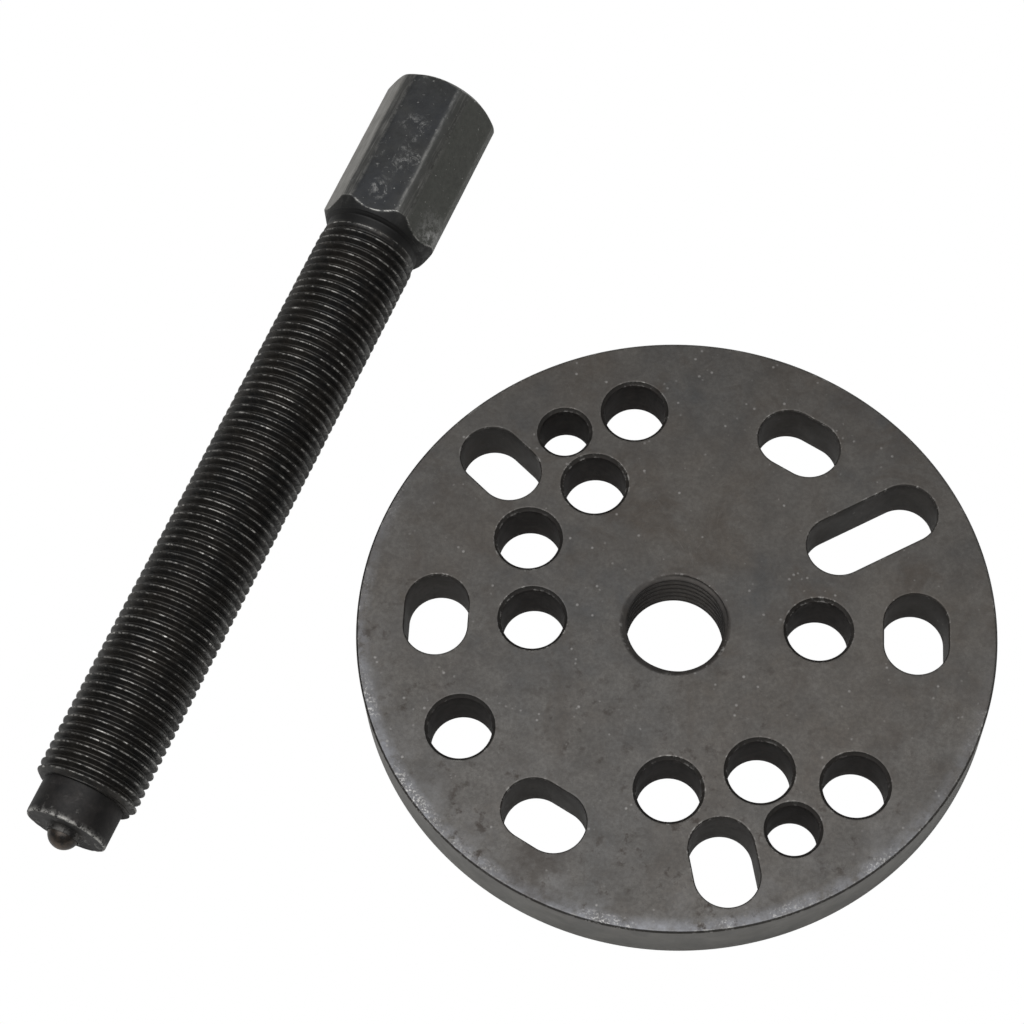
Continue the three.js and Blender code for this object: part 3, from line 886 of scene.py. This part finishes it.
def head_rows(angles):
    """Rows from the thread's end over the neck and the hexagon head to the middle of its end face."""
    rows = []
    for height in np.linspace(THREAD_END_MM + 0.15, HEAD_START_MM - 0.55, 6):
        rows.append(row_of(angles, height, NECK_RADIUS_MM))
    for share in np.linspace(0.1, 1, 6):
        radius = NECK_RADIUS_MM + (HEAD_UNDER_FACE_MM - NECK_RADIUS_MM - 0.05) * share
        rows.append(row_of(angles, HEAD_START_MM - 0.5 + 0.5 * share ** 1.6, radius))
    hexagon = hexagon_radius(angles)
    turned = soft_min(hexagon, HEAD_CORNER_MM, CORNER_SOFTNESS_MM)
    corner_edge = 0.22 * np.exp(-((hexagon - HEAD_CORNER_MM) / 0.07) ** 2)
    for height in head_heights():
        under_cone = HEAD_UNDER_FACE_MM + (height - HEAD_START_MM) / HEAD_UNDER_SLOPE
        end_cone = HEAD_END_FACE_MM + (HEAD_END_MM - height) / HEAD_END_SLOPE
        radius = soft_min(turned, under_cone, UNDER_SOFTNESS_MM)
        radius = soft_min(radius, end_cone, END_SOFTNESS_MM)
        dent = smooth_noise(np.cos(angles) * 4 + 11, np.sin(angles) * 4 + 11, height * 0.35)
        radius = radius - HEAD_DENT_MM * smooth_step(0.45, 0.9, dent)
        under_edge = np.exp(-((under_cone - turned) / 0.09) ** 2)
        end_edge = 0.6 * np.exp(-((end_cone - turned) / 0.14) ** 2)
        edge = np.maximum.reduce([corner_edge, under_edge, end_edge])
        under = 1 - smooth_step(-0.04, 0.03, under_cone - turned)
        rows.append(row_of(angles, height, radius, edge, under))
    for share in np.linspace(0, 1, 8)[1:]:
        rows.append(row_of(angles, HEAD_END_MM, HEAD_END_FACE_MM * (1 - share) + 0.05 * share))
    return rows


def build_screw(material):
    angles = screw_angles()
    columns = len(angles)
    nose, thread, head = nose_rows(angles), thread_rows(angles), head_rows(angles)
    rows = nose + thread + head
    first, last = len(nose), len(nose) + len(thread)

    def past_seam(row):
        """The thread's rows rise by a pitch a turn, so past the seam each goes on as the next turn's row."""
        return min(row + ROWS_PER_TURN, last - 1) if first <= row < last else row

    points = [np.stack([radius * np.cos(angles), radius * np.sin(angles), height], axis=1)
              for height, radius, _, _ in rows]
    edge, under = (np.concatenate([row[part] for row in rows] + [np.zeros(2)]) for part in (2, 3))
    faces = []
    for low in range(len(rows) - 1):
        for here in range(columns):
            there = (here + 1) % columns
            low_there, high_there = (low, low + 1) if there else (past_seam(low), past_seam(low + 1))
            faces.append((low * columns + here, low_there * columns + there,
                          high_there * columns + there, (low + 1) * columns + here))
    # One point closes the bottom of the seat, and another the end face.
    seat_point = len(rows) * columns
    end_point = seat_point + 1
    end_row = seat_point - columns
    points.append(np.array([[0, 0, rows[0][0][0]], [0, 0, rows[-1][0][0]]]))
    for here in range(columns):
        there = (here + 1) % columns
        faces.append((seat_point, there, here))
        faces.append((end_point, end_row + here, end_row + there))
    make_object("forcing_screw_body", np.concatenate(points), faces, SCREW_PLACE, material, "forcing_screw",
                attributes={"edge": edge, "under": under}, sharp_angle=62)


# ---------------------------------------------------------------- the thrust ball

BALL_COLUMNS = 64
BALL_RINGS = 33


def build_ball(material):
    columns, rings = BALL_COLUMNS, BALL_RINGS
    points = [(0, 0, BALL_CENTRE_MM - BALL_RADIUS_MM)]
    for ring in range(1, rings):
        tilt = math.pi * ring / rings
        for column in range(columns):
            turn = 2 * math.pi * column / columns
            points.append((
                BALL_RADIUS_MM * math.sin(tilt) * math.cos(turn),
                BALL_RADIUS_MM * math.sin(tilt) * math.sin(turn),
                BALL_CENTRE_MM - BALL_RADIUS_MM * math.cos(tilt),
            ))
    points.append((0, 0, BALL_CENTRE_MM + BALL_RADIUS_MM))
    far = len(points) - 1
    faces = []
    for column in range(columns):
        there = (column + 1) % columns
        faces.append((0, 1 + there, 1 + column))
        faces.append((far, far - columns + column, far - columns + there))
        for ring in range(rings - 2):
            start = 1 + ring * columns
            faces.append((start + column, start + there, start + columns + there, start + columns + column))
    make_object("thrust_ball_body", points, faces, SCREW_PLACE, material, "thrust_ball")


# ---------------------------------------------------------------- floor, light and camera

FLOOR_SIZE = 4.0
# The floor lies this far under the object's lowest point.
FLOOR_DROP = 0.0002
FLOOR_GREY = (0.72, 0.72, 0.71, 1)
WHITE = (1, 1, 1, 1)
WORLD_STRENGTH = 0.14
SOFTBOX_PLACE = Vector((-0.14, -0.13, 0.9))
SOFTBOX_AIM = Vector((-0.14, -0.13, 0))
SOFTBOX_WIDTH = 1.2
SOFTBOX_DEPTH = 1.05
SOFTBOX_POWER = 8.3


def build_floor():
    """A matt floor that looks paper white from the camera, and lights the object as a pale one would."""
    material = bpy.data.materials.new("pale_floor")
    material.use_nodes = True
    tree = material.node_tree
    shader = tree.nodes["Principled BSDF"]
    shader.inputs["Base Color"].default_value = FLOOR_GREY
    shader.inputs["Roughness"].default_value = 0.9
    shader.inputs["Specular IOR Level"].default_value = 0.1
    paper = tree.nodes.new("ShaderNodeEmission")
    paper.inputs["Color"].default_value = WHITE
    paper.inputs["Strength"].default_value = 1.0
    seen = tree.nodes.new("ShaderNodeLightPath")
    either = tree.nodes.new("ShaderNodeMixShader")
    tree.links.new(seen.outputs["Is Camera Ray"], either.inputs[0])
    tree.links.new(shader.outputs[0], either.inputs[1])
    tree.links.new(paper.outputs[0], either.inputs[2])
    tree.links.new(either.outputs[0], tree.nodes["Material Output"].inputs["Surface"])
    half = FLOOR_SIZE / 2
    corners = [(x, y, -FLOOR_DROP) for x, y in ((-half, -half), (half, -half), (half, half), (-half, half))]
    mesh = bpy.data.meshes.new("floor")
    mesh.from_pydata(corners, [], [(0, 1, 2, 3)])
    floor = bpy.data.objects.new("floor", mesh)
    floor.data.materials.append(material)
    bpy.context.scene.collection.objects.link(floor)


def build_lights():
    """A dim even world and one large softbox overhead."""
    world = bpy.data.worlds.new("studio")
    world.use_nodes = True
    background = world.node_tree.nodes["Background"]
    background.inputs["Color"].default_value = WHITE
    background.inputs["Strength"].default_value = WORLD_STRENGTH
    bpy.context.scene.world = world
    light = bpy.data.lights.new("overhead_softbox", "AREA")
    light.shape = "RECTANGLE"
    light.size = SOFTBOX_WIDTH
    light.size_y = SOFTBOX_DEPTH
    light.energy = SOFTBOX_POWER
    lamp = bpy.data.objects.new("overhead_softbox", light)
    lamp.location = SOFTBOX_PLACE
    lamp.rotation_euler = (SOFTBOX_AIM - SOFTBOX_PLACE).to_track_quat("-Z", "Y").to_euler()
    bpy.context.scene.collection.objects.link(lamp)
    bpy.context.scene.view_settings.view_transform = "Standard"


# The camera looks down on the plate from its front. Its distances are in plate radii from the plate's centre.
CAMERA_BACK = 3.45986
CAMERA_UP = 8.18632
CAMERA_DOWN_ANGLE = 64.234
CAMERA_YAW = 7.939
CAMERA_ROLL = -4.928
CAMERA_LENS_MM = 97.84
CAMERA_SENSOR_MM = 36
CAMERA_CLIP_START = 0.01


def build_camera():
    down = math.radians(CAMERA_DOWN_ANGLE)
    yaw = Matrix.Rotation(math.radians(CAMERA_YAW), 3, "Z")
    forward = yaw @ Vector((0, math.cos(down), -math.sin(down)))
    level_right = yaw @ Vector((1, 0, 0))
    level_up = yaw @ Vector((0, math.sin(down), math.cos(down)))
    roll = math.radians(CAMERA_ROLL)
    right = math.cos(roll) * level_right + math.sin(roll) * level_up
    up = -math.sin(roll) * level_right + math.cos(roll) * level_up
    pose = Matrix((right, up, -forward)).transposed().to_4x4()
    reach = PLATE_RADIUS_MM * MM
    pose.translation = PLATE_CENTRE + Vector((0, -CAMERA_BACK * reach, CAMERA_UP * reach))
    data = bpy.data.cameras.new("camera")
    data.lens = CAMERA_LENS_MM
    data.sensor_width = CAMERA_SENSOR_MM
    data.clip_start = CAMERA_CLIP_START
    camera = bpy.data.objects.new("camera", data)
    camera.matrix_world = pose
    bpy.context.scene.collection.objects.link(camera)
    bpy.context.scene.camera = camera


build_camera()
build_floor()
build_lights()
build_plate(plate_material())
build_screw(screw_material())
build_ball(ball_material())

bpy.context.view_layer.update()
